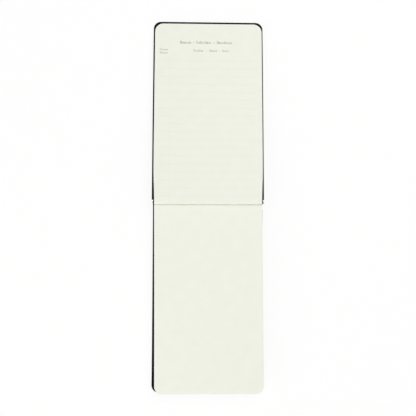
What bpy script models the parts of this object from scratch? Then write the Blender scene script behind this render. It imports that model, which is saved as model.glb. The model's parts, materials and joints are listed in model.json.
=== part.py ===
# Hard-cover reporter notepad, bound along its short top edge and lying open.
# The paper block rests on the back cover, towards -Y. The front cover is swung over
# the fold, towards +Y, and rests on the table with its fore edge. X runs along the fold.
# The table is z = 0, and the origin is at the middle of the open pad's footprint.

import math

import bmesh
import bpy
from mathutils import Vector

MM = 0.001

# Covers
SIDE_SQUARE = 1.0 * MM             # a cover stands proud of the pages at each side
FORE_SQUARE = 1.2 * MM             # and at the fore edge
COVER_CORNER = 6.0 * MM            # radius of the two fore-edge corners
JOINT_WIDTH = 3.8 * MM             # from the fold to a board's hinge edge
BOARD_THICKNESS = 1.8 * MM
WRAP_THICKNESS = 0.35 * MM         # black leatherette
TURN_IN = 12.0 * MM                # leatherette folded over onto the inside
PASTEDOWN_THICKNESS = 0.2 * MM
PASTEDOWN_MARGIN = 3.0 * MM        # leatherette left bare round a pastedown
AXIS_OFFSET = 1.0 * MM             # from a cover's inner face to its hinge axis

# Paper
PAGE_WIDTH = 88.0 * MM
PAGE_LENGTH = 151.0 * MM
PAGE_CORNER = 6.0 * MM
LEAF_THICKNESS = 0.15 * MM
SECTION_COUNT = 6
SECTION_THICKNESS = 1.4 * MM
BLOCK_LEAN = math.radians(0.35)    # the sewn block sits slightly askew in its case
BLOCK_SHIFT = 0.05 * MM
LEAF_BEND = 0.85 * MM              # radius at which a turned leaf dips to the fold

# Sewing and spine, from the backs of the sections outwards
THREAD_COUNT = 4
THREAD_DIAMETER = 0.3 * MM
THREAD_MARGIN = 14.0 * MM          # from the page's side to the first stitch
MULL_THICKNESS = 0.15 * MM
MULL_MARGIN = 6.0 * MM             # the gauze stops short of the page's sides
LINING_THICKNESS = 0.15 * MM
LINING_MARGIN = 1.0 * MM
SPINE_BOARD_THICKNESS = 1.0 * MM
SPINE_SQUARE = 0.2 * MM            # spine and front joint stand proud of the pages at each side
SPINE_SETBACK = 1.1 * MM           # the spine's edges lie this far inside the closed pad's faces

# Clearances
GLUE_GAP = 0.05 * MM               # between glued or sewn layers
LEAF_GAP = 0.1 * MM                # between leaves that lie loose on each other
HOLLOW_GAP = 0.1 * MM              # between the block's lining and the case spine
JOINT_GAP = 0.1 * MM               # round a joint strip

ARC_STEPS = 8                      # segments in a rounded corner
FOLD_STEPS = 3                     # segments in each half of a section's folded back
FOLD_SHARE = 0.45                  # each half's share of the section's thickness

# Widths and lengths
cover_width = PAGE_WIDTH + 2 * SIDE_SQUARE
cover_reach = PAGE_LENGTH + FORE_SQUARE    # from the fold to a cover's fore edge
spine_width = PAGE_WIDTH + 2 * SPINE_SQUARE

# Layers, from the table up
cover_thickness = (2 * WRAP_THICKNESS + BOARD_THICKNESS + PASTEDOWN_THICKNESS
                   + 3 * GLUE_GAP)
back_inner = cover_thickness
back_flyleaf_bottom = back_inner + GLUE_GAP
sections_bottom = back_flyleaf_bottom + LEAF_THICKNESS + GLUE_GAP
section_pitch = SECTION_THICKNESS + GLUE_GAP
sections_top = sections_bottom + SECTION_COUNT * section_pitch - GLUE_GAP
first_leaf_bottom = sections_top + GLUE_GAP
first_leaf_top = first_leaf_bottom + LEAF_THICKNESS
closed_contents_bottom = first_leaf_top + LEAF_GAP
closed_flyleaf_bottom = closed_contents_bottom + LEAF_THICKNESS + GLUE_GAP
closed_inner = closed_flyleaf_bottom + LEAF_THICKNESS + LEAF_GAP
closed_top = closed_inner + cover_thickness

# Hinge axes
front_axis_z = closed_inner + AXIS_OFFSET
back_axis_z = back_inner - AXIS_OFFSET
inner_face = AXIS_OFFSET
wrap_top = inner_face - PASTEDOWN_THICKNESS - GLUE_GAP
outer_face = inner_face - cover_thickness

# The open front cover slopes until its outer fore edge meets the table.
front_slope = (math.asin(front_axis_z / math.hypot(cover_reach, outer_face))
               - math.atan2(-outer_face, cover_reach))
front_far_y = cover_reach * math.cos(front_slope) + wrap_top * math.sin(front_slope)
fold_y = (cover_reach - front_far_y) / 2

# Depths behind the fold
thread_y = fold_y + GLUE_GAP + THREAD_DIAMETER / 2
mull_y = thread_y + THREAD_DIAMETER / 2 + GLUE_GAP
lining_y = mull_y + MULL_THICKNESS + GLUE_GAP
spine_board_y = lining_y + LINING_THICKNESS + HOLLOW_GAP
spine_wrap_y = spine_board_y + SPINE_BOARD_THICKNESS + GLUE_GAP
spine_outer_y = spine_wrap_y + WRAP_THICKNESS
spine_bottom = SPINE_SETBACK
spine_top = closed_top - SPINE_SETBACK


def clear_scene():
    for old in list(bpy.data.objects):
        bpy.data.objects.remove(old, do_unlink=True)


def make_material(name, colour, roughness, metallic=0.0):
    material = bpy.data.materials.new(name)
    material.use_nodes = True
    shader = material.node_tree.nodes["Principled BSDF"]
    shader.inputs["Base Color"].default_value = (*colour, 1.0)
    shader.inputs["Roughness"].default_value = roughness
    shader.inputs["Metallic"].default_value = metallic
    material.diffuse_color = (*colour, 1.0)
    return material


def make_empty(name, location, tilt=0.0):
    empty = bpy.data.objects.new(name, None)
    empty.location = location
    empty.rotation_euler = (tilt, 0.0, 0.0)
    bpy.context.scene.collection.objects.link(empty)
    return empty


def add_piece(name, mesh_builder, material, parent=None):
    mesh = bpy.data.meshes.new(name)
    bmesh.ops.recalc_face_normals(mesh_builder, faces=mesh_builder.faces)
    mesh_builder.to_mesh(mesh)
    mesh_builder.free()
    mesh.materials.append(material)
    piece = bpy.data.objects.new(name, mesh)
    piece.parent = parent
    bpy.context.scene.collection.objects.link(piece)
    return piece


def extrude_outline(points, direction):
    """One closed solid: a flat outline carried along a vector."""
    builder = bmesh.new()
    corners = [builder.verts.new(point) for point in points]
    face = builder.faces.new(corners)
    swept = bmesh.ops.extrude_face_region(builder, geom=[face])
    moved = [item for item in swept["geom"] if isinstance(item, bmesh.types.BMVert)]
    bmesh.ops.translate(builder, vec=direction, verts=moved)
    return builder


def panel_outline(half_width, near, far, radius, toward):
    """A panel seen along its normal: square at the hinge, rounded at the fore edge.

    toward is +1 for a panel that runs to +Y from its axis, -1 for one that runs to -Y.
    """
    points = [(-half_width, near), (half_width, near)]
    for side in (1, -1):
        for step in range(ARC_STEPS + 1):
            turn = step / ARC_STEPS if side > 0 else 1 - step / ARC_STEPS
            angle = turn * math.pi / 2
            points.append((side * (half_width - radius * (1 - math.cos(angle))),
                           far - radius * (1 - math.sin(angle))))
    return [(x, toward * y) for x, y in points]


def plate(outline, bottom, thickness, place=None):
    """An outline made into a flat plate; place maps its x, y onto the sheet's own."""
    spots = [place(x, y) if place else (x, y) for x, y in outline]
    return extrude_outline([(x, y, bottom) for x, y in spots], Vector((0, 0, thickness)))


def ribbon(name, path, thickness, width, material, parent=None):
    """A bent strip: a centre line in the Y-Z plane, thickened and carried along X."""
    left, right = [], []
    for index, (y, z) in enumerate(path):
        before = path[max(index - 1, 0)]
        after = path[min(index + 1, len(path) - 1)]
        run = Vector((after[0] - before[0], after[1] - before[1])).normalized()
        normal = Vector((-run.y, run.x)) * thickness / 2
        left.append((-width / 2, y + normal.x, z + normal.y))
        right.append((-width / 2, y - normal.x, z - normal.y))
    return add_piece(name, extrude_outline(left + right[::-1], Vector((width, 0, 0))),
                     material, parent)


def arc(centre, radius, start, end, steps):
    """Points on an arc in the Y-Z plane, angles in degrees from +Y."""
    return [(centre[0] + radius * math.cos(math.radians(start + (end - start) * i / steps)),
             centre[1] + radius * math.sin(math.radians(start + (end - start) * i / steps)))
            for i in range(steps + 1)]


def add_cutter(name, builder, target, parent):
    cutter = add_piece(name, builder, leatherette, parent)
    cutter.hide_render = True
    cutter.display_type = "WIRE"
    cut = target.modifiers.new(name, "BOOLEAN")
    cut.operation = "DIFFERENCE"
    cut.solver = "EXACT"
    cut.object = cutter


def make_cover(side, hinge, toward):
    """Board, leatherette and pastedown of one cover, built about its hinge axis."""
    skin = WRAP_THICKNESS + GLUE_GAP
    half = cover_width / 2
    pastedown_bottom = inner_face - PASTEDOWN_THICKNESS
    board_top = wrap_top - skin
    board_bottom = board_top - BOARD_THICKNESS

    board = panel_outline(half - skin, JOINT_WIDTH + JOINT_GAP, cover_reach - skin,
                          COVER_CORNER - skin, toward)
    add_piece(f"{side}_board", plate(board, board_bottom, BOARD_THICKNESS), greyboard, hinge)

    shell = panel_outline(half, JOINT_WIDTH, cover_reach, COVER_CORNER, toward)
    wrap = add_piece(f"{side}_cover_wrap", plate(shell, outer_face, wrap_top - outer_face),
                     leatherette, hinge)
    pocket = panel_outline(half - WRAP_THICKNESS, 0.0, cover_reach - WRAP_THICKNESS,
                           COVER_CORNER - WRAP_THICKNESS, toward)
    add_cutter(f"{side}_board_pocket",
               plate(pocket, outer_face + WRAP_THICKNESS, BOARD_THICKNESS + 2 * GLUE_GAP),
               wrap, hinge)
    window = panel_outline(half - TURN_IN, 0.0, cover_reach - TURN_IN, COVER_CORNER, toward)
    add_cutter(f"{side}_turn_in_window", plate(window, board_top, AXIS_OFFSET), wrap, hinge)

    pastedown = panel_outline(half - PASTEDOWN_MARGIN, JOINT_WIDTH,
                              cover_reach - PASTEDOWN_MARGIN,
                              COVER_CORNER - PASTEDOWN_MARGIN / 2, toward)
    add_piece(f"{side}_pastedown", plate(pastedown, pastedown_bottom, PASTEDOWN_THICKNESS),
              endpaper, hinge)


def askew(x, y):
    """Place on the block: leaning a little to the right towards the fore edge."""
    return (x + BLOCK_SHIFT - y * math.tan(BLOCK_LEAN), y + fold_y)


def make_block():
    """Sewn sections with folded backs, the last flyleaf and the link stitches."""
    for number in range(1, SECTION_COUNT + 1):
        bottom = sections_bottom + (SECTION_COUNT - number) * section_pitch
        outline = panel_outline(PAGE_WIDTH / 2, 0.0, PAGE_LENGTH, PAGE_CORNER, -1)
        builder = plate(outline, bottom, SECTION_THICKNESS, askew)
        backs = [edge for edge in builder.edges
                 if all(abs(vert.co.y - fold_y) < GLUE_GAP for vert in edge.verts)
                 and edge.verts[0].co.z == edge.verts[1].co.z]
        bmesh.ops.bevel(builder, geom=backs, offset=SECTION_THICKNESS * FOLD_SHARE,
                        segments=FOLD_STEPS, profile=0.5, affect="EDGES")
        add_piece(f"section_{number}", builder, paper)

    flyleaf = panel_outline(PAGE_WIDTH / 2, SECTION_THICKNESS / 2, PAGE_LENGTH, PAGE_CORNER, -1)
    add_piece("back_flyleaf", plate(flyleaf, back_flyleaf_bottom, LEAF_THICKNESS, askew), endpaper)

    stitch_span = PAGE_WIDTH - 2 * THREAD_MARGIN
    for number in range(THREAD_COUNT):
        builder = bmesh.new()
        bmesh.ops.create_cone(builder, cap_ends=True, segments=8, radius1=THREAD_DIAMETER / 2,
                              radius2=THREAD_DIAMETER / 2, depth=sections_top - sections_bottom)
        x = -stitch_span / 2 + stitch_span * number / (THREAD_COUNT - 1)
        middle = (sections_bottom + sections_top) / 2
        bmesh.ops.translate(builder, vec=(x + BLOCK_SHIFT, thread_y, middle), verts=builder.verts)
        add_piece(f"sewing_thread_{number + 1}", builder, linen)


def upright(name, width, y, thickness, bottom, top, material):
    """A flat strip standing along the back of the block."""
    outline = [(-width / 2, y, bottom), (width / 2, y, bottom), (width / 2, y, top), (-width / 2, y, top)]
    return add_piece(name, extrude_outline(outline, Vector((0, thickness, 0))), material)


def make_spine():
    """Gauze and lining on the block, then the board and leatherette of the case spine."""
    upright("spine_mull", PAGE_WIDTH - 2 * MULL_MARGIN, mull_y, MULL_THICKNESS,
            sections_bottom, sections_top, gauze)
    upright("spine_lining", PAGE_WIDTH - 2 * LINING_MARGIN, lining_y, LINING_THICKNESS,
            sections_bottom, sections_top, kraft)
    upright("spine_board", spine_width, spine_board_y, SPINE_BOARD_THICKNESS,
            spine_bottom, spine_top, greyboard)
    upright("spine_wrap", spine_width, spine_wrap_y, WRAP_THICKNESS,
            spine_bottom, spine_top, leatherette)


def make_joints():
    """Leatherette strips between the spine and the boards, slack in front, flat behind."""
    strip = WRAP_THICKNESS
    # in front: down the spine's outer face, round a loop and out to the open cover's skin
    leg_y = spine_outer_y + JOINT_GAP + strip / 2
    cover_edge_y = fold_y + JOINT_WIDTH * math.cos(front_slope) + outer_face * math.sin(front_slope)
    skin_z = (front_axis_z - JOINT_WIDTH * math.sin(front_slope)
              + (outer_face + strip / 2) * math.cos(front_slope))
    loop_radius = (cover_edge_y - JOINT_GAP - strip / 2 - leg_y) / 2
    loop_centre = (leg_y + loop_radius, skin_z - loop_radius / 2)
    front_path = ([(leg_y, spine_top)] + arc(loop_centre, loop_radius, 180, 360, ARC_STEPS)
                  + [(leg_y + 2 * loop_radius, skin_z + strip)])
    ribbon("front_joint_cloth", front_path, strip, spine_width, leatherette)

    # behind: as wide as the back cover, from its skin under the block to the foot of the spine
    rear_z = spine_bottom - JOINT_GAP - strip / 2
    rear_path = [(fold_y - JOINT_WIDTH + JOINT_GAP, rear_z), (spine_outer_y, rear_z)]
    ribbon("rear_joint_cloth", rear_path, strip, cover_width, leatherette)


def make_leaves(front_hinge):
    """The two leaves lying on the open cover, and the first page of the block."""
    inner_most = inner_face + LEAF_GAP
    for name, bottom, bend, sheet in (
            ("front_flyleaf", inner_most, LEAF_BEND, endpaper),
            ("contents_leaf", inner_most + LEAF_THICKNESS + GLUE_GAP,
             LEAF_BEND + LEAF_THICKNESS + GLUE_GAP, paper)):
        middle = bottom + LEAF_THICKNESS / 2
        bend_centre = (spine_board_y - fold_y + LEAF_BEND / 2, middle - bend)
        path = arc(bend_centre, bend, 180, 90, ARC_STEPS) + [(PAGE_LENGTH, middle)]
        leaf = ribbon(name, path, LEAF_THICKNESS, PAGE_WIDTH, sheet, front_hinge)
        corner = leaf.modifiers.new("rounded_corners", "BEVEL")
        corner.width = PAGE_CORNER
        corner.segments = ARC_STEPS
        corner.limit_method = "WEIGHT"
        weights = leaf.data.attributes.new("bevel_weight_edge", "FLOAT", "EDGE")
        for edge in leaf.data.edges:
            ends = [leaf.data.vertices[index].co for index in edge.vertices]
            upright_edge = abs(ends[0].x - ends[1].x) < GLUE_GAP
            at_fore_edge = min(end.y for end in ends) > PAGE_LENGTH - GLUE_GAP
            weights.data[edge.index].value = 1.0 if upright_edge and at_fore_edge else 0.0

    bound_edge = SECTION_THICKNESS / 2
    outline = panel_outline(PAGE_WIDTH / 2, bound_edge, PAGE_LENGTH, PAGE_CORNER, -1)
    lowered = first_leaf_bottom - front_axis_z
    turn_axis = make_empty("first_leaf_axis", (0, fold_y, front_axis_z))
    add_piece("first_leaf",
              plate(outline, lowered, LEAF_THICKNESS,
                    lambda x, y: (askew(x, y)[0], y)), paper, turn_axis)


clear_scene()
leatherette = make_material("black leatherette", (0.013, 0.013, 0.015), 0.5)
greyboard = make_material("greyboard", (0.28, 0.25, 0.21), 0.9)
endpaper = make_material("cream endpaper", (0.84, 0.85, 0.74), 0.85)
paper = make_material("cream writing paper", (0.86, 0.87, 0.78), 0.85)
linen = make_material("linen thread", (0.82, 0.80, 0.72), 0.8)
gauze = make_material("cotton gauze", (0.78, 0.77, 0.70), 0.9)
kraft = make_material("kraft lining paper", (0.48, 0.34, 0.20), 0.85)

front_axis = make_empty("front_cover_axis", (0, fold_y, front_axis_z), -front_slope)
back_axis = make_empty("back_cover_axis", (0, fold_y, back_axis_z))
make_cover("front", front_axis, 1)
make_cover("back", back_axis, -1)
make_block()
make_spine()
make_joints()
make_leaves(front_axis)
bpy.context.view_layer.update()
print("front cover slope, degrees:", round(math.degrees(front_slope), 3))
print("fold y and hinge heights, mm:", [round(v / MM, 4) for v in (fold_y, front_axis_z, back_axis_z)])
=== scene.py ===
import json
import math
from functools import partial
import bmesh
import bpy
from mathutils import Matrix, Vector
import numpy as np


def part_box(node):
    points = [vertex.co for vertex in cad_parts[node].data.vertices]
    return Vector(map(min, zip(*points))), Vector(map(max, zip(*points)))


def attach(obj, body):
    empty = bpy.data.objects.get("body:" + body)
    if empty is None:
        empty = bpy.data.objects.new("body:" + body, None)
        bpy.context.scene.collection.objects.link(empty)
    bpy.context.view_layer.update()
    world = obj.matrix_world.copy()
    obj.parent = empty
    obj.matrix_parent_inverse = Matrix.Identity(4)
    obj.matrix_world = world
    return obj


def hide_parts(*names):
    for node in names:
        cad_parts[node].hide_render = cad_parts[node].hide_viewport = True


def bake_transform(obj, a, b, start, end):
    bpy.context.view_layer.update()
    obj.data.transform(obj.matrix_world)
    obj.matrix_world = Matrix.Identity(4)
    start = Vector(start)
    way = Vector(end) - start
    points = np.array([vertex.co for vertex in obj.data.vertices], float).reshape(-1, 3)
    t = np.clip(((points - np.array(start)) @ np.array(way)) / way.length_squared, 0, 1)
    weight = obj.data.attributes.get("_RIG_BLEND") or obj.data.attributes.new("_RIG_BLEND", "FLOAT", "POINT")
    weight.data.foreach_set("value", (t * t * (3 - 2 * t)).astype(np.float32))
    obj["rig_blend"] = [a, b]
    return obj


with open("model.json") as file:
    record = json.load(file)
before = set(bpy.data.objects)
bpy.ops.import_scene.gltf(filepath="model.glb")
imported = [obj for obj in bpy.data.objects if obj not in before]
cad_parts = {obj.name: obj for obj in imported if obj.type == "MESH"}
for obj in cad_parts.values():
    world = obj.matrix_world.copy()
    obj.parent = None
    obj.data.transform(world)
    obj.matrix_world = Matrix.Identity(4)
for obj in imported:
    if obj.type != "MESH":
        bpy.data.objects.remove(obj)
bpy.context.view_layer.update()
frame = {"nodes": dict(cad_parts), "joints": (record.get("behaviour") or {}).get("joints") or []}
mm = 0.001
joints = {joint["name"]: joint for joint in frame["joints"]}

# Each cover is measured from its hinge axis: x along the fold, u out to the fore edge, w off the face
frontSide = {
    "pivot": Vector(joints["front_cover_hinge"]["pos_m"]),
    "slope": math.radians(joints["front_cover_hinge"]["range_deg"][1] - 180),
    "toward": 1,
}
backSide = {"pivot": Vector(joints["back_cover_hinge"]["pos_m"]), "slope": 0.0, "toward": -1}
foldY = frontSide["pivot"].y


def fromHinge(side, x, u, w):
    y = side["toward"] * (u * math.cos(side["slope"]) + w * math.sin(side["slope"]))
    z = w * math.cos(side["slope"]) - u * math.sin(side["slope"])
    return Vector((x, side["pivot"].y + y, side["pivot"].z + z))


def toHinge(side, point):
    y = (point.y - side["pivot"].y) * side["toward"]
    z = point.z - side["pivot"].z
    u = y * math.cos(side["slope"]) - z * math.sin(side["slope"])
    w = y * math.sin(side["slope"]) + z * math.cos(side["slope"])
    return Vector((point.x, u, w))


def hingeBox(side, node):
    # lowest and highest corner of a node, measured from the hinge
    spots = [toHinge(side, vert.co) for vert in frame["nodes"][node].data.vertices]
    return [Vector(pick(spot[i] for spot in spots) for i in range(3)) for pick in (min, max)]


def linear(hexColour):
    parts = [int(hexColour[i:i + 2], 16) / 255 for i in (1, 3, 5)]
    return tuple(c / 12.92 if c <= 0.04045 else ((c + 0.055) / 1.055) ** 2.4 for c in parts) + (1.0,)


def plug(node, links):
    # inputs by name or in order: each takes a value, a socket, or the first output in use of another node
    for key, value in links.items() if isinstance(links, dict) else enumerate(links):
        if isinstance(value, bpy.types.Node):
            value = next(output for output in value.outputs if output.enabled)
        if isinstance(value, bpy.types.NodeSocket):
            node.id_data.links.new(value, node.inputs[key])
        else:
            node.inputs[key].default_value = value


def addNode(tree, kind, links=(), **settings):
    node = tree.nodes.new(kind)
    for key, value in settings.items():
        setattr(node, key, value)
    plug(node, links)
    return node


def newMaterial(name):
    material = bpy.data.materials.new(name)
    material.use_nodes = True
    tree = material.node_tree
    return material, tree.nodes["Principled BSDF"], partial(addNode, tree)


def addObject(name, data):
    thing = bpy.data.objects.new(name, data)
    bpy.context.scene.collection.objects.link(thing)
    return thing


print("frame read, front cover slope", round(math.degrees(frontSide["slope"]), 2))


# Camera: looking straight down from a little above the reader's side, as the photograph was taken
shot = {
    "eye": Vector((-15.77, -24.81, 534.9)) * mm,
    "turn": [math.radians(angle) for angle in (2.425, -1.724, 0.211)],
    "lens": 56.28,
}
lens = bpy.data.cameras.new("camera")
lens.lens = shot["lens"]
camera = addObject("camera", lens)
camera.location = shot["eye"]
camera.rotation_mode = "YXZ"
camera.rotation_euler = shot["turn"]
bpy.context.scene.camera = camera
print("camera placed")


def endShader(add, shader, look, colour, share, height):
    # roughness from a share and relief from a height, where the look has them, and the rest all over
    sockets = {"Base Color": colour, **look["shader"]}
    if "roughness" in look:
        sockets["Roughness"] = add("ShaderNodeMapRange", {"Value": share, **look["roughness"]})
    if "relief" in look:
        sockets["Normal"] = add("ShaderNodeBump", {"Height": height, **look["relief"]})
    plug(shader, sockets)


# Bonded leatherette: black film over paper, embossed with a fine pebble grain.
# It gives the eye a deep satin black, broken up by the grain and greyer where it is stretched round an edge.
leatherLook = {
    "tones": ("#050506", "#0F0F11"),  # painted shade: darker down in the creases between the pebbles, lighter on their tops
    "rubbed": "#222226",  # edges polished by handling
    "grain": 1.1 * mm,  # about 0.5 mm on the real cloth, drawn coarser so that it shows
    "wander": (0.6, 0.7),  # waves to a pebble, and how far they draw it out of shape, in pebbles
    "creaseShare": 0.28,  # of a pebble's width
    "fine": (3, 0.3),  # small bumps to a pebble, and their share of its height
    "patch": 14 * mm,  # size of the patches in which an edge is rubbed
    "roughness": {"To Min": 0.75, "To Max": 0.42},
    "relief": {"Strength": 0.9, "Distance": 0.09 * mm},
    "shader": {"IOR": 1.5, "Specular IOR Level": 0.12},
}


def makeLeatherette(name, coordinates):
    look = leatherLook
    grain = look["grain"]
    material, shader, add = newMaterial(name)
    where = add("ShaderNodeTexCoord").outputs[coordinates]
    waves, reach = look["wander"]
    wander = add("ShaderNodeTexNoise", {"Vector": where, "Scale": waves / grain, "Detail": 2.0})
    drawn = add("ShaderNodeVectorMath", (wander.outputs["Color"], (reach * grain,) * 3, where),
                operation="MULTIPLY_ADD")
    pebble = add("ShaderNodeTexVoronoi", {"Vector": drawn, "Scale": 1 / grain}, feature="DISTANCE_TO_EDGE")
    top = add("ShaderNodeMapRange", {"Value": pebble, "From Max": look["creaseShare"]},
              interpolation_type="SMOOTHSTEP")
    bumps, share = look["fine"]
    fine = add("ShaderNodeTexNoise", {"Vector": where, "Scale": bumps / grain, "Detail": 2.0})
    height = add("ShaderNodeMath", (fine, share, top), operation="MULTIPLY_ADD")
    # a colour mix takes its factor at 0 and its colours at 6 and 7
    first, second = [linear(tone) for tone in look["tones"]]
    # painted shade: the film's colour is darker in the creases of the grain than on the pebble tops
    filmWithCreaseShade = add("ShaderNodeMix", {0: top, 6: first, 7: second}, data_type="RGBA")
    patch = add("ShaderNodeTexNoise", {"Vector": where, "Scale": 1 / look["patch"], "Detail": 3.0})
    wear = add("ShaderNodeAttribute", attribute_name="edgeWear").outputs["Fac"]
    scuff = add("ShaderNodeMath", (wear, patch), operation="MULTIPLY")
    colour = add("ShaderNodeMix", {0: scuff, 6: filmWithCreaseShade, 7: linear(look["rubbed"])}, data_type="RGBA")
    endShader(add, shader, look, colour, top, height)
    return material


# Contents table on the turned leaf, in mm from the fold and across from the leaf's middle
contentsPrint = {
    "ink": "#A9ABA3",
    "pitch": 6.6, "firstRule": 6.4, "lastRule": 119.2,
    "ruleWidth": 0.3,  # about 0.15 in print, drawn wider in a paler ink so that it shows
    "ruleTint": 0.11,
    "span": (-39.4, 38.6),
    "columnRule": -31.4, "columnTop": 123.8,
    # rows of short grey strokes stand where the printed headings are and spell nothing:
    # foot of the row, height of a small stroke, stroke spacing, strength, stretches across
    "rows": [
        (133.4, 1.35, 0.78, 0.95, [(-23.4, -14.3), (-10.3, 2.2), (6.7, 19.4)]),
        (126.6, 1.10, 0.66, 0.80, [(-12.3, -3.9), (0.6, 6.9), (11.3, 17.2)]),
        (127.5, 0.95, 0.60, 0.95, [(-39.9, -33.2)]),
        (124.8, 0.95, 0.60, 0.95, [(-39.9, -33.6)]),
    ],
    "strokeShare": (0.4, 0.45),  # of the spacing: the least, and how much more by chance
    "tallShare": 0.75,  # how much of its height a tall stroke gains
    "tallPower": 4.0,  # the higher, the fewer strokes are tall
    "initialWidth": 1.3,  # the strokes at the start of a stretch are all tall
    "openShare": 0.5,  # this share of the strokes is open on the right
    "gapShare": 0.16,  # reach of the opening up and down, in heights of the stroke
    "gapReach": 0.22,  # half the depth of the opening, in spacings
    # height, radius, strength and places of the dots between stretches
    "dots": [(134.2, 0.35, 0.8, (-12.1, 4.8)), (127.2, 0.3, 0.6, (-1.4, 9.1))],
}


def inkMask(add, shapes):
    # the strongest of several shapes, each the product of plain factors and spans (value, middle, reach)
    strongest = None
    for parts in shapes:
        ink = None
        for part in parts:
            if isinstance(part, tuple):
                part = add("ShaderNodeMath", part, operation="COMPARE")
            ink = part if ink is None else add("ShaderNodeMath", (ink, part), operation="MULTIPLY")
        strongest = ink if strongest is None else add("ShaderNodeMath", (strongest, ink), operation="MAXIMUM")
    return strongest


def printMask(add, place):
    table = contentsPrint
    measured = add("ShaderNodeVectorMath", {0: place, "Scale": 1 / mm}, operation="SCALE")
    across, along = add("ShaderNodeSeparateXYZ", (measured,)).outputs[:2]

    left, right = table["span"]
    reach, tint = table["ruleWidth"] / 2, table["ruleTint"]
    middle, top = (table["lastRule"] + table["firstRule"]) / 2, table["columnTop"]
    fromFirst = add("ShaderNodeMath", (along, table["firstRule"]), operation="SUBTRACT")
    offRule = add("ShaderNodeMath", (fromFirst, table["pitch"] / 2), operation="PINGPONG")
    shapes = [
        [(offRule, 0.0, reach), (across, (left + right) / 2, (right - left) / 2),
         (along, middle, table["lastRule"] - middle + reach), tint],
        [(across, table["columnRule"], reach), (along, top / 2, top / 2), tint],
    ]

    least, more = table["strokeShare"]
    initial, gap = table["initialWidth"] / 2, table["gapReach"]
    for foot, small, spacing, strength, stretches in table["rows"]:
        letter = add("ShaderNodeMath", (across, spacing), operation="DIVIDE")
        cell = add("ShaderNodeMath", (letter,), operation="FLOOR")
        inCell = add("ShaderNodeMath", (letter,), operation="FRACT")
        seed = add("ShaderNodeMath", (cell, foot), operation="MULTIPLY")
        chance = add("ShaderNodeTexWhiteNoise", {"W": seed}, noise_dimensions="1D")
        chances = add("ShaderNodeSeparateColor", (chance.outputs["Color"],)).outputs
        words = inkMask(add, [[(across, (start + end) / 2, (end - start) / 2)] for start, end in stretches])
        tall = add("ShaderNodeMath", (chance, table["tallPower"]), operation="POWER")
        tall = inkMask(add, [[tall]] + [[(across, start + initial, initial)] for start, end in stretches])
        height = add("ShaderNodeMath", (tall, small * table["tallShare"], small), operation="MULTIPLY_ADD")
        half = add("ShaderNodeMath", (height, 0.5), operation="MULTIPLY")
        middle = add("ShaderNodeMath", (half, foot), operation="ADD")
        width = add("ShaderNodeMath", (chances[1], more / 2, least / 2), operation="MULTIPLY_ADD")
        opened = add("ShaderNodeMath", (chances[2], 1 - table["openShare"]), operation="GREATER_THAN")
        cut = add("ShaderNodeMath", (height, table["gapShare"]), operation="MULTIPLY")
        opening = inkMask(add, [[opened, (inCell, 0.5 + gap, gap), (along, middle, cut)]])
        closed = add("ShaderNodeMath", (1.0, opening), operation="SUBTRACT")
        shapes.append([(inCell, 0.5, width), (along, middle, half), closed, words, strength])
    for middle, radius, strength, spots in table["dots"]:
        shapes += [[(across, spot, radius), (along, middle, radius), strength] for spot in spots]
    return inkMask(add, shapes)


# Uncoated wood-free writing paper, cream, about 80 g/m2: matt, faintly cloudy where the fibres lie thicker
paperLook = {
    "tones": ("#F1F2E8", "#EDEFE2"),
    "fibre": (1.8 * mm, 0.5 * mm),  # far finer in real paper, drawn coarser so that they show
    "detail": 3.0,
    "cloud": 9 * mm, "fibreShare": 0.5,  # fibres count half as much as clouds
    "deepening": {"From Min": 0.5, "From Max": 1.0},  # stretch of their sum over which the paper gets deeper
    "roughness": {"To Min": 0.82, "To Max": 0.95},
    "relief": {"Strength": 0.3, "Distance": 0.02 * mm},
    "shader": {"IOR": 1.5, "Specular IOR Level": 0.3},
}
endpaperLook = {**paperLook, "tones": ("#EFEFE2", "#E9EADA")}  # the same stock, heavier and a little warmer

# Greyboard: pressed waste paper, dull grey-brown and flecked with darker and lighter scraps
boardLook = {
    "tones": ("#8E867B", "#6B645B"), "fleck": "#B5AEA2",
    "fibre": (7 * mm, 7 * mm),  # clumps of pulp, the same all ways
    "detail": 5.0,
    "fleckSize": 1.6 * mm,  # about 0.5 mm in the real board, drawn coarser so that it shows
    "fleckEdge": {"From Min": 0.35, "From Max": 0.1},  # from a fleck's outside to its inside
    "relief": {"Strength": 0.4, "Distance": 0.05 * mm},
    "shader": {"Roughness": 0.92, "Specular IOR Level": 0.25},
}

# Kraft lining: brown wrapping paper, dull and streaked by long fibres along the spine
kraftLook = {
    "tones": ("#A9825A", "#8A6744"),
    "fibre": (4 * mm, 0.6 * mm),  # drawn coarser than real so that they show
    "detail": 4.0,
    "relief": {"Strength": 0.3, "Distance": 0.03 * mm},
    "shader": {"Roughness": 0.85, "Specular IOR Level": 0.3},
}

# Waxed linen sewing thread and undyed cotton gauze: dull off-white yarns, mottled by their fibres
linenLook = {
    "tones": ("#E6E0CE", "#CFC7B0"),
    "fibre": (0.5 * mm, 0.5 * mm),
    "detail": 3.0,
    "roughness": {"To Min": 0.7, "To Max": 0.9},
    "shader": {"Specular IOR Level": 0.3, "Sheen Weight": 0.2},
}
cottonLook = {**linenLook, "tones": ("#E2DFD2", "#CBC7B8")}


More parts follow.
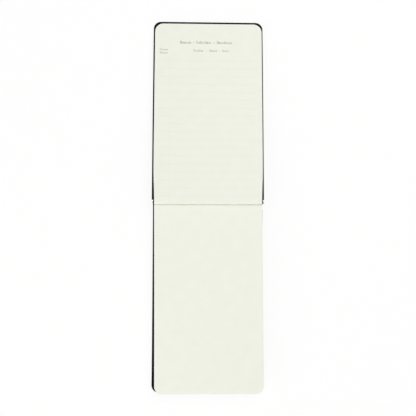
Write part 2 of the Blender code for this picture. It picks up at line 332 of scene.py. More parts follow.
def makeFibrous(name, look, coordinates="Object", printed=False):
    # noise drawn out along the fibres mixes two tones, and makes the roughness and the tooth
    material, shader, add = newMaterial(name)
    where = add("ShaderNodeTexCoord").outputs[coordinates]
    long, short = look["fibre"]
    laid = add("ShaderNodeMapping", {"Vector": where, "Scale": (1 / long, 1 / short, 1 / short)})
    fibre = add("ShaderNodeTexNoise", {"Vector": laid, "Scale": 1.0, "Detail": look["detail"]})
    share = fibre
    if "cloud" in look:
        cloud = add("ShaderNodeTexNoise", {"Vector": where, "Scale": 1 / look["cloud"], "Detail": 4.0})
        both = add("ShaderNodeMath", (fibre, look["fibreShare"], cloud), operation="MULTIPLY_ADD")
        share = add("ShaderNodeMapRange", {"Value": both, **look["deepening"]})
    first, second = [linear(tone) for tone in look["tones"]]
    colour = add("ShaderNodeMix", {0: share, 6: first, 7: second}, data_type="RGBA")
    if "fleck" in look:
        scraps = add("ShaderNodeTexVoronoi", {"Vector": where, "Scale": 1 / look["fleckSize"]})
        bright = add("ShaderNodeMapRange", {"Value": scraps, **look["fleckEdge"]})
        colour = add("ShaderNodeMix", {0: bright, 6: colour, 7: linear(look["fleck"])}, data_type="RGBA")
    if printed:
        ink = linear(contentsPrint["ink"])
        colour = add("ShaderNodeMix", {0: printMask(add, where), 6: colour, 7: ink}, data_type="RGBA")
    endShader(add, shader, look, colour, fibre, fibre)
    return material


coverLeatherette = makeLeatherette("bonded leatherette, embossed", "Object")
jointLeatherette = makeLeatherette("bonded leatherette, embossed, along the strip", "UV")
blockPaper = makeFibrous("writing paper, trimmed block", paperLook)
leafPaper = makeFibrous("writing paper, single leaf", paperLook, "UV")
printedPaper = makeFibrous("writing paper, printed with a contents table", paperLook, "UV", printed=True)
endPaper = makeFibrous("endpaper, heavy cream", endpaperLook, "UV")
greyboard = makeFibrous("greyboard, pressed pulp", boardLook)
kraftPaper = makeFibrous("kraft lining paper", kraftLook)
linenThread = makeFibrous("linen thread, waxed", linenLook)
cottonGauze = makeFibrous("cotton gauze, undyed", cottonLook)
print("materials made:", len(bpy.data.materials))

sharpAngle = math.radians(40)  # edges bent further than this are shaded sharp


def toMesh(name, builder):
    mesh = bpy.data.meshes.new(name)
    builder.to_mesh(mesh)
    builder.free()
    return mesh


def meshPiece(name, builder, *materials):
    bmesh.ops.recalc_face_normals(builder, faces=builder.faces)
    mesh = toMesh(name, builder)
    mesh.shade_smooth()
    mesh.set_sharp_from_angle(angle=sharpAngle)
    for material in materials:
        mesh.materials.append(material)
    return addObject(name, mesh)


def standFor(piece, node, body=None):
    if body:
        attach(piece, body)
    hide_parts(node)


def smooth(share):
    share = min(1.0, max(0.0, share))
    return share * share * (3 - 2 * share)


def arcPoints(centre, radius, start, end, steps):
    turns = [math.radians(start + (end - start) * i / steps) for i in range(steps + 1)]
    return [(centre[0] + radius * math.cos(t), centre[1] + radius * math.sin(t)) for t in turns]


def directions(path):
    # which way a path runs at each of its points
    ends = zip([path[0]] + path[:-1], path[1:] + [path[-1]])
    return [Vector((after[0] - before[0], after[1] - before[1])).normalized() for before, after in ends]


def crossSection(low, high, off):
    return (low, off), (high, off), (high, -off), (low, -off)


def tube(loops, layer=None):
    # a closed skin over loops of corners, each a point and a mark for its layer, or for its place in UV
    builder = bmesh.new()
    layers = builder.verts.layers.float if layer else builder.loops.layers.uv
    values = layers.new(layer or "along")
    rings = [[builder.verts.new(point) for point, mark in loop] for loop in loops]
    marks = {vert: item[1] for ring, loop in zip(rings, loops) for vert, item in zip(ring, loop)}
    for first, second in zip(rings, rings[1:]):
        for i in range(len(first)):
            builder.faces.new((first[i], first[i - 1], second[i - 1], second[i]))
    for ring in (rings[0], rings[-1]):
        for i in range(len(ring) // 2 - 1):
            builder.faces.new((ring[i], ring[i + 1], ring[-2 - i], ring[-1 - i]))
    bmesh.ops.recalc_face_normals(builder, faces=builder.faces)
    for vert, mark in marks.items():
        if layer:
            vert[values] = mark
        else:
            for corner in vert.link_loops:
                corner[values].uv = mark
    return builder


# Cover skins: leatherette drawn over the board, rounded at its edges and turned in on the inside
coverSkin = {
    "corner": 6.0 * mm, "cornerSteps": 20, "sideSteps": 8,
    "thickness": 0.35 * mm,
    "outerRound": 0.9 * mm, "innerRound": 0.6 * mm, "roundSteps": 5,
    "flat": 0.4 * mm,  # level strip that keeps the broad face's shading flat
    "turnIn": 12 * mm, "windowCorner": 6.0 * mm,
    "pleats": [(1.5 * mm, 0.05 * mm), (3.2 * mm, 0.09 * mm), (5.2 * mm, 0.1 * mm)],  # inset and depth
    "lip": (0.02 * mm, 0.08 * mm),  # skin tucked over the board's end at the hinge
    # what the photograph shows of the case's edges: shifted to the right at the hinge and at the fore edge,
    # how the shift grows in between, bulging at mid-length, and reaching further out at the fore edge
    "edges": {
        "front_cover_wrap": {"shift": (-0.16 * mm, 0.06 * mm), "growth": 1,
                             "bulge": 0.2 * mm, "reach": 0.12 * mm},
        "back_cover_wrap": {"shift": (0.08 * mm, -0.28 * mm), "growth": 3,
                            "bulge": 0.0, "reach": -0.2 * mm},
    },
    "wave": (0.2, 0.9),  # stretch of half a sine wave that the bulge follows
}


def coverEdge(node, share):
    # shift and bulge of a cover at this share of the way from the hinge to the fore edge
    edge = coverSkin["edges"][node]
    start, end = edge["shift"]
    first, last = coverSkin["wave"]
    share = min(1.0, max(0.0, share))
    bulge = edge["bulge"] * math.sin(math.pi * (first + (last - first) * share))
    return start + (end - start) * share ** edge["growth"], bulge


def panelOutline(half, near, far, radius):
    # out along the left side, round both corners and back along the right
    steps = coverSkin["sideSteps"]
    left = [(-half, near + (far - radius - near) * i / steps) for i in range(steps)]
    left += arcPoints((-half + radius, far - radius), radius, 180, 90, coverSkin["cornerSteps"])
    return left + [(-x, u) for x, u in reversed(left)]


def makeCoverSkin(name, side, node, body):
    size = coverSkin
    low, high = hingeBox(side, node)
    half, near, far = high.x, low.y, high.y + size["edges"][node]["reach"]
    outer, inner, thick = low.z, high.z, size["thickness"]
    builder = bmesh.new()
    wearLayer = builder.verts.layers.float.new("edgeWear")
    rings = []

    def addRing(inset, height, wear=0.0, pleat=0.0, corner=None):
        ring = []
        outline = panelOutline(half - inset, near, far - inset, corner or size["corner"] - inset)
        for index, (x, u) in enumerate(outline):
            atCorner = far - u < size["corner"] and abs(x) > half - size["corner"] - size["flat"]
            dip = pleat if atCorner and index % 2 else 0.0
            shift, bulge = coverEdge(node, u / far)
            vert = builder.verts.new(fromHinge(side, x + shift + bulge * x / half, u, height - dip))
            vert[wearLayer] = wear
            ring.append(vert)
        rings.append(ring)

    turns = [step / size["roundSteps"] * math.pi / 2 for step in range(size["roundSteps"] + 1)]
    radius = size["outerRound"]
    addRing(radius + size["flat"], outer)
    for turn in turns:
        addRing(radius * (1 - math.sin(turn)), outer + radius * (1 - math.cos(turn)), wear=math.sin(2 * turn))
    radius = size["innerRound"]
    for turn in turns:
        addRing(radius * (1 - math.cos(turn)), inner - radius * (1 - math.sin(turn)), wear=math.sin(2 * turn))
    for inset, depth in size["pleats"]:
        addRing(inset, inner, pleat=depth)
    addRing(size["turnIn"], inner, corner=size["windowCorner"])
    addRing(size["turnIn"], inner - thick, corner=size["windowCorner"])
    addRing(thick, inner - thick)
    addRing(thick, outer + thick)

    for ring, following in zip(rings, rings[1:]):
        for i in range(len(ring) - 1):
            builder.faces.new((ring[i], ring[i + 1], following[i + 1], following[i]))
    builder.faces.new(rings[0])
    builder.faces.new(rings[-1])
    builder.faces.new([ring[0] for ring in rings] + [ring[-1] for ring in reversed(rings)])
    shift = coverEdge(node, near / far)[0]
    lip = []
    for u in size["lip"]:
        for x in (-half + thick, half - thick):
            for w in (outer + thick, inner - thick):
                lip.append(builder.verts.new(fromHinge(side, x + shift, near + u, w)))
    bmesh.ops.convex_hull(builder, input=lip)
    standFor(meshPiece(name, builder, coverLeatherette), node, body)


makeCoverSkin("front_cover_skin", frontSide, "front_cover_wrap", "front_cover")
makeCoverSkin("back_cover_skin", backSide, "back_cover_wrap", "back_cover")
for node, material in (("front_board", greyboard), ("back_board", greyboard), ("spine_lining", kraftPaper)):
    frame["nodes"][node].data.materials.clear()
    frame["nodes"][node].data.materials.append(material)
print("cover skins made")


# Single sheets: rows across a path, each row as (y, z, half width, middle x, distance along the sheet)
sheetForm = {"columns": 12, "cornerSteps": 10, "rowSpacing": 6 * mm}


def fillSheet(name, rows, thickness, toward, face, back=None):
    columns = sheetForm["columns"]
    loops = []
    for (y, z, half, middle, run), slope in zip(rows, directions(rows)):
        lift = Vector((0, -slope.y, slope.x)) * toward * thickness / 2
        spots = [half * (2 * column / columns - 1) for column in range(columns + 1)]
        loop = [(Vector((middle + x, y, z)) + lift, (x, run)) for x in spots]
        loop += [(Vector((middle + x, y, z)) - lift, (x, run)) for x in reversed(spots)]
        loops.append(loop)
    builder = tube(loops)
    builder.verts.index_update()
    for quad in builder.faces:
        onFace = all(vert.index % len(loops[0]) <= columns for vert in quad.verts)
        quad.material_index = 0 if onFace else 1
    return meshPiece(name, builder, face, back or face)


def runsOut(near, far, radius):
    # distances along a sheet from near to far, close together in the rounded corner
    count = max(2, round((far - radius - near) / sheetForm["rowSpacing"]))
    runs = [near + (far - radius - near) * i / count for i in range(count + 1)]
    steps = sheetForm["cornerSteps"]
    return runs + [far - radius * (1 - math.sin(math.pi / 2 * i / steps)) for i in range(1, steps + 1)]


def halfAt(run, half, far, radius):
    past = max(0.0, run - (far - radius))
    return half - radius + math.sqrt(max(0.0, radius ** 2 - past ** 2))


# The front pastedown and the two leaves on the open cover: up out of the fold, over the spine and out flat
turnedForm = {
    "rootLift": 0.08 * mm,  # the roots stand just clear of the sewn sections
    "rootLead": 0.1 * mm,  # and lead out by this much to where the bend starts
    "bendSteps": 10,
    "bridgeEnd": 4.6 * mm,  # a sheet comes from its bridge to its level by here
    "waistEnd": 30 * mm,  # and is drawn in a little from here to the fold
}
# root: how far past the fold it starts, bridge and level: height over the spine and on the cover,
# trim: off each side and off the fore edge, askew: to the right, waist: drawn in at the fold
turnedSheets = {
    "front_pastedown": {
        "root": 0.60 * mm, "bend": 0.70 * mm, "bridge": 0.98 * mm, "level": 0.90 * mm,
        "thickness": 0.14 * mm, "corner": 4.5 * mm, "trim": (0.0, 0.0), "askew": 0.0, "waist": 0.0},
    "front_flyleaf": {
        "root": 0.34 * mm, "bend": 0.85 * mm, "bridge": 1.175 * mm, "level": 1.175 * mm,
        "thickness": 0.12 * mm, "corner": 6.8 * mm, "trim": (0.25 * mm, 1.2 * mm),
        "askew": 0.15 * mm, "waist": 0.78 * mm},
    "contents_leaf": {
        "root": 0.10 * mm, "bend": 1.05 * mm, "bridge": 1.375 * mm, "level": 1.375 * mm,
        "thickness": 0.10 * mm, "corner": 6.8 * mm, "trim": (0.1 * mm, 0.62 * mm),
        "askew": 0.15 * mm, "waist": 0.78 * mm},
}


def makeTurnedSheet(node, name, body, face, back=None):
    form = turnedSheets[node]
    high = hingeBox(frontSide, node)[1]
    half, far = high.x - form["trim"][0], high.y - form["trim"][1]
    rootY = foldY + form["root"]
    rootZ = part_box("section_1")[1].z + turnedForm["rootLift"]
    root = toHinge(frontSide, Vector((0, rootY, rootZ)))
    radius, bridge = form["bend"], form["bridge"]
    centre = (root.y + turnedForm["rootLead"] + radius, bridge - radius)
    bend = arcPoints(centre, radius, 180, 90, turnedForm["bendSteps"])
    path = [(root.y, root.z)] + bend
    near = bend[-1][0]
    for u in runsOut(near, far, form["corner"])[1:]:
        share = smooth((u - near) / (turnedForm["bridgeEnd"] - near))
        path.append((u, bridge + (form["level"] - bridge) * share))
    rows = []
    for u, w in path:
        spot = fromHinge(frontSide, 0.0, u, w)
        waist = form["waist"] * (1 - smooth(u / turnedForm["waistEnd"]))
        shift, bulge = coverEdge("front_cover_wrap", u / far)
        wide = halfAt(u, half, far, form["corner"]) - waist + bulge
        rows.append((spot.y, spot.z, wide, form["askew"] + shift, u))
    sheet = fillSheet(name, rows, form["thickness"], 1, face, back)
    # only the root stays behind, so the sheet is drawn straight from there as it turns
    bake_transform(sheet, "text_block", body, start=(0, rootY, rootZ), end=fromHinge(frontSide, 0.0, *bend[0]))
    standFor(sheet, node)
    length = sum(math.dist(row[:2], following[:2]) for row, following in zip(rows, rows[1:]))
    return sheet, (2 * half, length)


pasted, cut = makeTurnedSheet("front_pastedown", "front_pastedown_sheet", "front_cover", endPaper)
flyleaf, cut = makeTurnedSheet("front_flyleaf", "front_flyleaf_sheet", "turned_leaves", endPaper)
print("front flyleaf cut", [round(side / mm, 1) for side in cut])
contents, cut = makeTurnedSheet("contents_leaf", "contents_sheet", "turned_leaves",
                                printedPaper, leafPaper)
print("contents leaf cut", [round(side / mm, 1) for side in cut])
print("turned leaves made")


# The block leans a little in its case: its middle line is read from the first section's two ends
blockForm = {
    "corner": 6.0 * mm,
    "endBand": 0.02 * mm,  # points this near to an end of the section belong to it
    "askew": 0.12 * mm, "lean": 0.0014,  # beyond the solid's own, as the page edges show in the photograph
    "trim": 0.38 * mm,  # pressed together, the leaves show a little narrower
    "flare": 0.2 * mm,  # and spread again towards the fore edge
    "flareGrowth": 4,  # power of the distance from the fold that the spread follows
    "flareRows": (0.5, 0.7, 0.85),  # shares of the length at which a section's leaf has points
}
sectionLow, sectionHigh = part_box("section_1")


def middleAt(y):
    spots = [vert.co for vert in frame["nodes"]["section_1"].data.vertices]
    near = [spot.x for spot in spots if abs(spot.y - y) < blockForm["endBand"]]
    return (min(near) + max(near)) / 2


blockShift = middleAt(sectionHigh.y) + blockForm["askew"]
solidLean = (middleAt(sectionLow.y) - middleAt(sectionHigh.y)) / (sectionHigh.y - sectionLow.y)
blockLean = solidLean + blockForm["lean"]
pageLength = foldY - sectionLow.y
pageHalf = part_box("contents_leaf")[1].x - blockForm["trim"]
foldRadius = (sectionHigh.z - sectionLow.z) / 2


def pageAt(run):
    # half width of a leaf of the block and the place of its middle, this far from the fold
    flare = blockForm["flare"] * (max(run, 0.0) / pageLength) ** blockForm["flareGrowth"]
    return halfAt(run, pageHalf, pageLength, blockForm["corner"]) + flare, blockShift + run * blockLean


# Sheets on the block: level on a section's outer face and rounded down into the fold
blockSheets = {
    "rootReach": 0.06 * mm,  # a root runs on past the fold by this
    "rootDip": 0.16 * mm,  # and dips this far towards its section
    "rootSteps": 8,
    "thickness": 0.10 * mm,
    "heldFrom": 0.025 * mm,  # past the fold, beyond here, the first leaf is sewn in
    "freeFrom": -0.01 * mm,  # and before here it turns
}


def makeBlockSheet(node, name, upward, material):
    low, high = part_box(node)
    level = (low.z + high.z) / 2
    runs = runsOut(foldRadius, pageLength, blockForm["corner"])
    rows = [(foldY - run, level, *pageAt(run), run) for run in runs]
    steps = blockSheets["rootSteps"]
    for step in range(1, steps + 1):
        run = foldRadius - (foldRadius + blockSheets["rootReach"]) * step / steps
        z = level - upward * blockSheets["rootDip"] * (step / steps) ** 2
        rows.insert(0, (foldY - run, z, *pageAt(run), run))
    return fillSheet(name, rows, blockSheets["thickness"], -1, material)


firstLeaf = makeBlockSheet("first_leaf", "first_sheet", 1, leafPaper)
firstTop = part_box("first_leaf")[1].z
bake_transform(firstLeaf, "text_block", "first_leaf", start=(0, foldY + blockSheets["heldFrom"], firstTop),
         end=(0, foldY + blockSheets["freeFrom"], firstTop))
standFor(firstLeaf, "first_leaf")
cut = (2 * pageHalf, pageLength + blockSheets["rootReach"])

backFlyleaf = makeBlockSheet("back_flyleaf", "back_flyleaf_sheet", -1, endPaper)
standFor(backFlyleaf, "back_flyleaf", "text_block")
print("block leaves cut", [round(side / mm, 1) for side in cut])

# The back pastedown carries on over the joint to the fold
pasteForm = {
    "corner": 4.5 * mm, "thickness": 0.14 * mm,
    "rootRise": 0.03 * mm,  # over the joint it lies a little higher than on the board
    "rootRows": 8, "rootSpacing": 0.5 * mm,
}


def makeBackPastedown():
    form = pasteForm
    low, high = hingeBox(backSide, "back_pastedown")
    runs = [i * form["rootSpacing"] for i in range(form["rootRows"])]
    rows = []
    for run in runs + runsOut(low.y, high.y, form["corner"]):
        lift = form["rootRise"] if run < low.y else 0.0
        spot = fromHinge(backSide, 0.0, run, (low.z + high.z) / 2 + lift)
        rows.append((spot.y, spot.z, halfAt(run, high.x, high.y, form["corner"]), 0.0, run))
    sheet = fillSheet("back_pastedown_sheet", rows, form["thickness"], -1, endPaper)
    rootZ = rows[0][1]
    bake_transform(sheet, "text_block", "back_cover", start=(0, foldY, rootZ), end=(0, foldY - low.y, rootZ))
    standFor(sheet, "back_pastedown")


makeBackPastedown()
print("block leaves and pastedowns made")


def makeTree(name, sockets):
    tree = bpy.data.node_groups.new(name, "GeometryNodeTree")
    tree.interface.new_socket("Geometry", in_out="INPUT", socket_type="NodeSocketGeometry")
    for label, kind in sockets.items():
        tree.interface.new_socket(label, in_out="INPUT", socket_type="NodeSocket" + kind)
    tree.interface.new_socket("Geometry", in_out="OUTPUT", socket_type="NodeSocketGeometry")
    return tree, addNode(tree, "NodeGroupInput").outputs, partial(addNode, tree)


def endTree(tree, geometry, material):
    solid = addNode(tree, "GeometryNodeRealizeInstances", {"Geometry": geometry})
    painted = addNode(tree, "GeometryNodeSetMaterial", {"Geometry": solid, "Material": material})
    addNode(tree, "NodeGroupOutput", {"Geometry": painted})
    return tree


def growPiece(name, tree, values, start=None):
    piece = addObject(name, start or bpy.data.meshes.new(name))
    modifier = piece.modifiers.new(tree.name, "NODES")
    modifier.node_group = tree
    for label, value in values.items():
        modifier[tree.interface.items_tree[label].identifier] = value
    depsgraph = bpy.context.evaluated_depsgraph_get()
    mesh = bpy.data.meshes.new_from_object(piece.evaluated_get(depsgraph))
    piece.modifiers.clear()
    piece.data = mesh
    mesh.name = name
    return piece


# Sewn sections: leaves stacked in folded pairs, each bent round its neighbour at the back
sectionForm = {
    "sections": 6,
    "leaves": 16, "leafThickness": 0.066 * mm,
    "slide": (0.06 * mm, 0.06 * mm, 0.0),  # how far a trimmed leaf may sit out of line
    "foldSteps": 6,
    "seed": 7,
}


def sectionTree():
    tree, inputs, add = makeTree("stacked leaves", {
        "Leaves": "Int", "Lowest": "Vector", "Pitch": "Vector", "Middle": "Float", "Slide": "Vector",
        "Seed": "Int", "Paper": "Material"})
    stack = add("GeometryNodeMeshLine", {
        "Count": inputs["Leaves"], "Start Location": inputs["Lowest"], "Offset": inputs["Pitch"]})
    back = add("ShaderNodeVectorMath", {0: inputs["Slide"], "Scale": -1.0}, operation="SCALE")
    slide = add("FunctionNodeRandomValue", {0: back, 1: inputs["Slide"], "Seed": inputs["Seed"]},
                data_type="FLOAT_VECTOR")
    knocked = add("GeometryNodeSetPosition", {"Geometry": stack, "Offset": slide})
    leaves = add("GeometryNodeInstanceOnPoints", {"Points": knocked, "Instance": inputs["Geometry"]})
    loose = add("GeometryNodeRealizeInstances", {"Geometry": leaves})
    # a leaf turns down to the section's middle on a quarter circle as wide as it lies from there
    turn = add("GeometryNodeInputNamedAttribute", {"Name": "foldTurn"}, data_type="FLOAT")
    sine = add("ShaderNodeMath", (turn,), operation="SINE")
    cosine = add("ShaderNodeMath", (turn,), operation="COSINE")
    x, y, z = add("ShaderNodeSeparateXYZ", (add("GeometryNodeInputPosition"),)).outputs
    height = add("ShaderNodeMath", (z, inputs["Middle"]), operation="SUBTRACT")
    reach = add("ShaderNodeMath", (height,), operation="ABSOLUTE")
    newY = add("ShaderNodeMath", (reach, sine, y), operation="MULTIPLY_ADD")
    newZ = add("ShaderNodeMath", (height, cosine, inputs["Middle"]), operation="MULTIPLY_ADD")
    where = add("ShaderNodeCombineXYZ", (x, newY, newZ))
    folded = add("GeometryNodeSetPosition", {"Geometry": loose, "Position": where})
    return endTree(tree, folded, inputs["Paper"])


def leafBlank():
    # one flat leaf, its rows marked with how far they turn down at the fold
    corner = blockForm["corner"]
    steps = sectionForm["foldSteps"]
    rows = [(foldRadius, math.pi / 2 * (1 - i / steps)) for i in range(steps + 1)]
    rows += [(share * pageLength, 0.0) for share in blockForm["flareRows"]]
    rows += [(run, 0.0) for run in runsOut(pageLength - corner, pageLength, corner)[2:]]
    rise = sectionForm["leafThickness"] / 2
    loops = []
    for run, turn in rows:
        half, middle = pageAt(run)
        loops.append([((middle + x, foldY - run, z), turn) for x, z in crossSection(-half, half, -rise)])
    return toMesh("leaf blank", tube(loops, "foldTurn"))


stackTree = sectionTree()
blank = leafBlank()
for number in range(1, sectionForm["sections"] + 1):
    node = f"section_{number}"
    low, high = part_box(node)
    pitch = (high.z - low.z) / sectionForm["leaves"]
    section = growPiece(f"{node}_leaves", stackTree, {
        "Leaves": sectionForm["leaves"], "Lowest": (0, 0, low.z + pitch / 2), "Pitch": (0, 0, pitch),
        "Middle": (low.z + high.z) / 2, "Slide": sectionForm["slide"],
        "Seed": sectionForm["seed"] + number, "Paper": blockPaper}, blank)
    standFor(section, node, "text_block")
print("sections stacked")


# Spine and joints: one strip of leatherette, cut here where it starts to bend with a cover
spineForm = {
    "thickness": 0.35 * mm,
    "endTurn": 0.3 * mm,  # rounded where the skin turns in over the ends of the spine board
    "endClear": 0.05 * mm,
    "topDrop": 0.65 * mm, "footRise": 0.15 * mm,  # the joints take over this far inside the spine's edges
    "turnSteps": 8,
    "boardInset": 0.2 * mm, "boardBevel": 0.12 * mm,
}
skinHalf = spineForm["thickness"] / 2
skinLow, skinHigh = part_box("spine_wrap")
spineY = (skinLow.y + skinHigh.y) / 2
spineFoot, spineTop = skinLow.z + spineForm["footRise"], skinHigh.z - spineForm["topDrop"]


def makeSpineSkin():
    form = spineForm
    boardLow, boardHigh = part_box("spine_board")
    endX = boardHigh.x + form["endClear"] + skinHalf
    radius = form["endTurn"]
    plan = [(endX, boardLow.y)]
    plan += arcPoints((endX - radius, spineY - radius), radius, 0, 90, form["turnSteps"])
    plan += [(-x, y) for x, y in reversed(plan)]
    loops = []
    for (x, y), run in zip(plan, directions(plan)):
        wear = 1.0 if abs(x) > endX - radius else 0.0
        corners = crossSection(spineFoot, spineTop, skinHalf)
        loops.append([((x + run.y * off, y - run.x * off, z), wear) for z, off in corners])
    skin = meshPiece("spine_skin", tube(loops, "edgeWear"), coverLeatherette)
    standFor(skin, "spine_wrap", "text_block")


def makeStiffener():
    # the board stops level with the skin, its edges crushed round
    low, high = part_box("spine_board")
    inset = spineForm["boardInset"]
    low = Vector((low.x + inset, low.y, low.z + inset))
    high = Vector((high.x - inset, high.y, spineTop))
    builder = bmesh.new()
    bmesh.ops.create_cube(builder, size=1.0)
    for vert in builder.verts:
        vert.co = Vector(low[i] + (high[i] - low[i]) * (vert.co[i] + 0.5) for i in range(3))
    bmesh.ops.bevel(builder, geom=builder.edges[:], offset=spineForm["boardBevel"],
                    segments=2, profile=0.5, affect="EDGES")
    board = meshPiece("spine_stiffener", builder, greyboard)
    standFor(board, "spine_board", "text_block")


def strip(name, path, half, leg=0, pull=1.0):
    # a bent strip along a path in the Y-Z plane, with the grain of one leg of the path laid out longer
    runs = [0.0]
    for index in range(1, len(path)):
        length = math.dist(path[index - 1], path[index])
        runs.append(runs[-1] + length * (pull if index == leg else 1.0))
    loops = []
    for (y, z), slope, run in zip(path, directions(path), runs):
        corners = crossSection(-half, half, skinHalf)
        loops.append([((x, y - slope.y * off, z + slope.x * off), (x, run)) for x, off in corners])
    return meshPiece(name, tube(loops), jointLeatherette)


# The front joint turns over the spine's edge and hangs in a slack loop while the cover lies open
frontJoint = {
    "turn": 0.225 * mm,  # radius over the spine's edge
    "turnRise": 0.1 * mm,  # its centre lies this far above the skin
    "turnEnd": 50,  # and it ends at this many degrees
    "legEnd": 1.25 * mm,  # from here down, below the hinge axis, the loop swings with the cover
    "legClear": 0.05 * mm,  # the bend stays this far inside the ends of the leg
    "loopLow": 2.3 * mm,  # how far below the hinge axis the loop is drawn
    "lead": 0.5 * mm,  # and how far it is drawn back from the board, along the cover
    "slack": 0.1 * mm,  # and along the table
    "pull": 2.0,  # the leg's grain is laid out longer, as closing the cover draws it out
}


def makeFrontJoint():
    form = frontJoint
    radius, steps, hingeZ = form["turn"], spineForm["turnSteps"], frontSide["pivot"].z
    centre = (spineY + radius, spineTop + form["turnRise"])
    path = [(spineY, spineTop)] + arcPoints(centre, radius, 180, form["turnEnd"], steps)
    leg = len(path)
    cover = hingeBox(frontSide, "front_cover_wrap")[0]
    w = cover.z + skinHalf
    end, lead = [fromHinge(frontSide, 0.0, u, w) for u in (cover.y, cover.y - form["lead"])]
    legY, legEnd, loopZ = spineY + 2 * radius, hingeZ - form["legEnd"], hingeZ - form["loopLow"]
    controls = [(legY, legEnd), (legY, loopZ), (lead.y - form["slack"], loopZ), (end.y, end.z)]
    for step in range(steps + 1):
        t = step / steps
        weights = [(1 - t) ** 3, 3 * t * (1 - t) ** 2, 3 * t * t * (1 - t), t ** 3]
        path.append(tuple(sum(k * point[i] for k, point in zip(weights, controls)) for i in (0, 1)))
    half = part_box("front_joint_cloth")[1].x + spineForm["endClear"]
    cloth = strip("front_joint_strip", path, half, leg, form["pull"])
    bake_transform(cloth, "text_block", "front_cover", start=(0, legY, spineTop - form["legClear"]),
             end=(0, legY, legEnd + form["legClear"]))
    standFor(cloth, "front_joint_cloth")


# The rear joint turns under the spine and runs level to the back board
rearJoint = {"turn": 0.45 * mm, "steps": 12}


def makeRearJoint():
    radius, steps = rearJoint["turn"], rearJoint["steps"]
    turn = arcPoints((spineY - radius, spineFoot), radius, 0, -90, spineForm["turnSteps"])
    path = [(spineY, spineFoot)] + turn[1:]
    startY, startZ = path[-1]
    cover = hingeBox(backSide, "back_cover_wrap")[0]
    end = fromHinge(backSide, 0.0, cover.y, cover.z + skinHalf)
    for step in range(1, steps + 1):
        t = step / steps
        path.append((startY + (end.y - startY) * t, startZ + (end.z - startZ) * smooth(t)))
    cloth = strip("rear_joint_strip", path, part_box("rear_joint_cloth")[1].x)
    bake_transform(cloth, "text_block", "back_cover", start=(0, startY, startZ), end=(0, end.y, end.z))
    standFor(cloth, "rear_joint_cloth")


makeSpineSkin()
makeStiffener()
makeFrontJoint()
makeRearJoint()
print("spine and joints made")


# Sewing threads: two plies twisted together down the backs of the sections
threadForm = {"threads": 4, "plies": 2, "twist": 0.95 * mm, "sides": 6, "turnPoints": 10}


def threadTree():
    tree, inputs, add = makeTree("twisted thread", {
        "Foot": "Vector", "Top": "Vector", "Radius": "Float", "Twist": "Float", "Plies": "Int",
        "Points": "Int", "Sides": "Int", "Thread": "Material"})
    line = add("GeometryNodeCurvePrimitiveLine", {"End": inputs["Top"]})
    fine = add("GeometryNodeResampleCurve", {"Curve": line, "Count": inputs["Points"]})
    plies = add("GeometryNodeDuplicateElements", {"Geometry": fine, "Amount": inputs["Plies"]},
                domain="SPLINE")
    place = add("ShaderNodeSeparateXYZ", (add("GeometryNodeInputPosition"),)).outputs
    turns = add("ShaderNodeMath", (place["Z"], inputs["Twist"]), operation="DIVIDE")
    phase = add("ShaderNodeMath", (plies.outputs["Duplicate Index"], inputs["Plies"]), operation="DIVIDE")
    total = add("ShaderNodeMath", (turns, phase), operation="ADD")
    angle = add("ShaderNodeMath", (total, math.tau), operation="MULTIPLY")
    sine = add("ShaderNodeMath", (angle,), operation="SINE")
    cosine = add("ShaderNodeMath", (angle,), operation="COSINE")
    ring = add("ShaderNodeCombineXYZ", (cosine, sine))
    radius = inputs["Radius"]
    offset = add("ShaderNodeVectorMath", {0: ring, "Scale": radius}, operation="SCALE")
    placed = add("ShaderNodeVectorMath", (offset, inputs["Foot"]), operation="ADD")
    wound = add("GeometryNodeSetPosition", {"Geometry": plies, "Offset": placed})
    profile = add("GeometryNodeCurvePrimitiveCircle", {"Resolution": inputs["Sides"], "Radius": radius})
    spun = add("GeometryNodeCurveToMesh", {"Curve": wound, "Profile Curve": profile, "Fill Caps": True})
    return endTree(tree, spun, inputs["Thread"])


twistTree = threadTree()
for number in range(1, threadForm["threads"] + 1):
    node = f"sewing_thread_{number}"
    low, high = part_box(node)
    height = high.z - low.z
    thread = growPiece(f"{node}_plies", twistTree, {
        "Foot": ((low.x + high.x) / 2, (low.y + high.y) / 2, low.z),
        "Top": (0, 0, height), "Radius": (high.y - low.y) / 4,  # two plies side by side make the diameter
        "Twist": threadForm["twist"], "Plies": threadForm["plies"],
        "Points": round(height / threadForm["twist"] * threadForm["turnPoints"]),
        "Sides": threadForm["sides"], "Thread": linenThread})
    standFor(thread, node, "text_block")
print("threads twisted")


# Spine gauze: an open plain weave, yarns passing over and under each other, set by its tree's own inputs
gauzeForm = {"Spacing": 1.2 * mm, "Radius": 0.035 * mm, "Sides": 5, "Wave Points": 4}


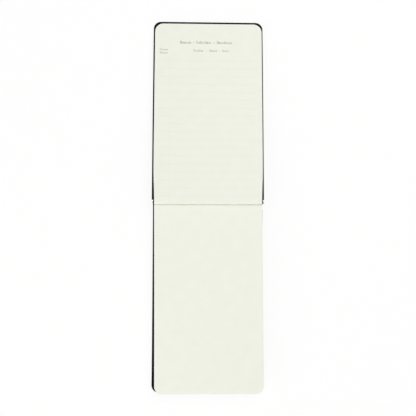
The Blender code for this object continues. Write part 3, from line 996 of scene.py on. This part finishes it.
def gauzeTree():
    tree, inputs, add = makeTree("open gauze", {
        "Corner": "Vector", "Width": "Float", "Height": "Float", "Spacing": "Float", "Radius": "Float",
        "Sides": "Int", "Wave Points": "Int", "Gauze": "Material"})
    spacing, radius = inputs["Spacing"], inputs["Radius"]
    under = add("ShaderNodeMath", (radius, -1.0), operation="MULTIPLY")
    profile = add("GeometryNodeCurvePrimitiveCircle", {"Resolution": inputs["Sides"], "Radius": radius})
    middle = add("ShaderNodeMath", (spacing, 0.5), operation="MULTIPLY")
    cloth = add("GeometryNodeJoinGeometry")
    # yarns up the spine, then yarns along it, which start on the other side of the cloth
    ways = (("Height", "Width", "Z", "X", radius), ("Width", "Height", "X", "Z", under))
    for length, across, axis, other, reach in ways:
        end = add("ShaderNodeCombineXYZ", {axis: inputs[length]})
        line = add("GeometryNodeCurvePrimitiveLine", {"End": end})
        crossings = add("ShaderNodeMath", (inputs[length], spacing), operation="DIVIDE")
        points = add("ShaderNodeMath", (crossings, inputs["Wave Points"]), operation="MULTIPLY")
        fine = add("GeometryNodeResampleCurve", {"Curve": line, "Count": points})
        place = add("ShaderNodeSeparateXYZ", (add("GeometryNodeInputPosition"),)).outputs
        turns = add("ShaderNodeMath", (place[axis], spacing), operation="DIVIDE")
        angle = add("ShaderNodeMath", (turns, math.pi), operation="MULTIPLY")
        swing = add("ShaderNodeMath", (angle,), operation="COSINE")
        depth = add("ShaderNodeMath", (swing, reach), operation="MULTIPLY")
        offset = add("ShaderNodeCombineXYZ", {"Y": depth})
        wavy = add("GeometryNodeSetPosition", {"Geometry": fine, "Offset": offset})
        yarn = add("GeometryNodeCurveToMesh", {"Curve": wavy, "Profile Curve": profile, "Fill Caps": True})
        count = add("ShaderNodeMath", (inputs[across], spacing), operation="DIVIDE")
        step = add("ShaderNodeCombineXYZ", {other: spacing})
        start = add("ShaderNodeCombineXYZ", {other: middle})
        rows = add("GeometryNodeMeshLine", {"Count": count, "Start Location": start, "Offset": step})
        odd = add("ShaderNodeMath", (add("GeometryNodeInputIndex"), 2.0), operation="MODULO")
        half = add("ShaderNodeMath", (odd, math.pi), operation="MULTIPLY")
        roll = add("ShaderNodeCombineXYZ", {axis: half})
        yarns = add("GeometryNodeInstanceOnPoints", {"Points": rows, "Instance": yarn, "Rotation": roll})
        plug(cloth, (yarns,))
    placed = add("GeometryNodeTransform", {"Geometry": cloth, "Translation": inputs["Corner"]})
    return endTree(tree, placed, inputs["Gauze"])


low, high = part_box("spine_mull")
gauze = growPiece("spine_gauze", gauzeTree(), {
    **gauzeForm, "Corner": (low.x, (low.y + high.y) / 2, low.z),
    "Width": high.x - low.x, "Height": high.z - low.z, "Gauze": cottonGauze})
standFor(gauze, "spine_mull", "text_block")
print("gauze woven")


# Stage: a white table and backdrop in soft light from both sides
stageForm = {
    "radius": 1.5, "wallHeight": 1.5, "sides": 96,
    "shader": {"Base Color": linear("#FCFCFB"), "Roughness": 0.9, "Specular IOR Level": 0.1},
    "whiteShare": 0.9,  # how far the stage is lifted to white where it is seen, the rest keeps shadow
    "white": {"Color": linear("#FFFFFF"), "Strength": 1.0},
    "ambient": {"Color": linear("#FFFFFF"), "Strength": 0.40},
    # place, size and power in watts
    "lamps": {
        "key softbox": ((0.36, 0.42, 0.88), (0.75, 0.6), 5.08),
        "fill softbox": ((-0.58, -0.68, 0.44), (0.7, 0.6), 4.46),
    },
}


def makeTable():
    form = stageForm
    material, shader, add = newMaterial("matt white table")
    plug(shader, form["shader"])
    rays = add("ShaderNodeLightPath").outputs
    seen = add("ShaderNodeMath", (rays["Is Camera Ray"], rays["Is Glossy Ray"]), operation="MAXIMUM")
    seen = add("ShaderNodeMath", (seen, rays["Is Transmission Ray"]), operation="MAXIMUM")
    share = add("ShaderNodeMath", (seen, form["whiteShare"]), operation="MULTIPLY")
    white = add("ShaderNodeEmission", form["white"])
    lifted = add("ShaderNodeMixShader", (share, shader, white))
    plug(material.node_tree.nodes["Material Output"], {"Surface": lifted})
    builder = bmesh.new()
    bmesh.ops.create_circle(builder, cap_ends=True, segments=form["sides"], radius=form["radius"])
    wall = bmesh.ops.extrude_edge_only(builder, edges=[edge for edge in builder.edges if edge.is_boundary])
    raised = [item for item in wall["geom"] if isinstance(item, bmesh.types.BMVert)]
    bmesh.ops.translate(builder, vec=(0, 0, form["wallHeight"]), verts=raised)
    mesh = toMesh("table_and_backdrop", builder)
    mesh.materials.append(material)
    addObject("table_and_backdrop", mesh)


def makeLight():
    world = bpy.data.worlds.new("soft studio")
    world.use_nodes = True
    plug(world.node_tree.nodes["Background"], stageForm["ambient"])
    bpy.context.scene.world = world
    for name, (spot, size, power) in stageForm["lamps"].items():
        lamp = bpy.data.lights.new(name, "AREA")
        lamp.shape = "RECTANGLE"
        lamp.size, lamp.size_y = size
        lamp.energy = power
        holder = addObject(name, lamp)
        holder.location = spot
        holder.rotation_euler = Vector(spot).to_track_quat("Z", "Y").to_euler()


makeTable()
makeLight()
bpy.context.scene.view_settings.view_transform = "Standard"
print("stage lit")
